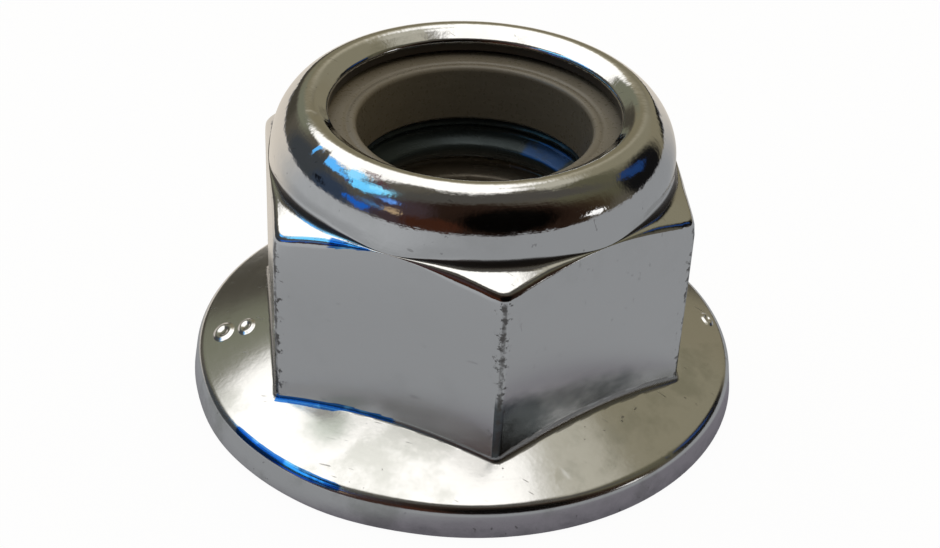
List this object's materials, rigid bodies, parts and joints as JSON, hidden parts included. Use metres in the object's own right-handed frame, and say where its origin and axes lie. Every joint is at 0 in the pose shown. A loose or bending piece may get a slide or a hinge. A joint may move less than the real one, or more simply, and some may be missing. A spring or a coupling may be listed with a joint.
{
  "type": "nylon insert lock nut",
  "caption": "Hexagon lock nut with a cone-topped round flange, and a nylon ring held under the rolled lip of its collar. Takes an M8 bolt.",
  "frame": {"origin": "centre of the hole, in the plane of the flange's bearing face", "axes": "+Z along the thread's axis, from the flange to the collar; the hexagon's corners lie on +X and -X, and two of its flats face +Y and -Y"},
  "size_m": [0.018, 0.018, 0.0102],
  "materials": {
    "plated_steel": "bright plated steel, smooth, with fine handling marks",
    "nylon": "warm grey nylon with a dull sheen"
  },
  "bodies": {
    "root": {"nut_body": "plated_steel", "nylon_insert": "nylon"}
  },
  "joints": []
}
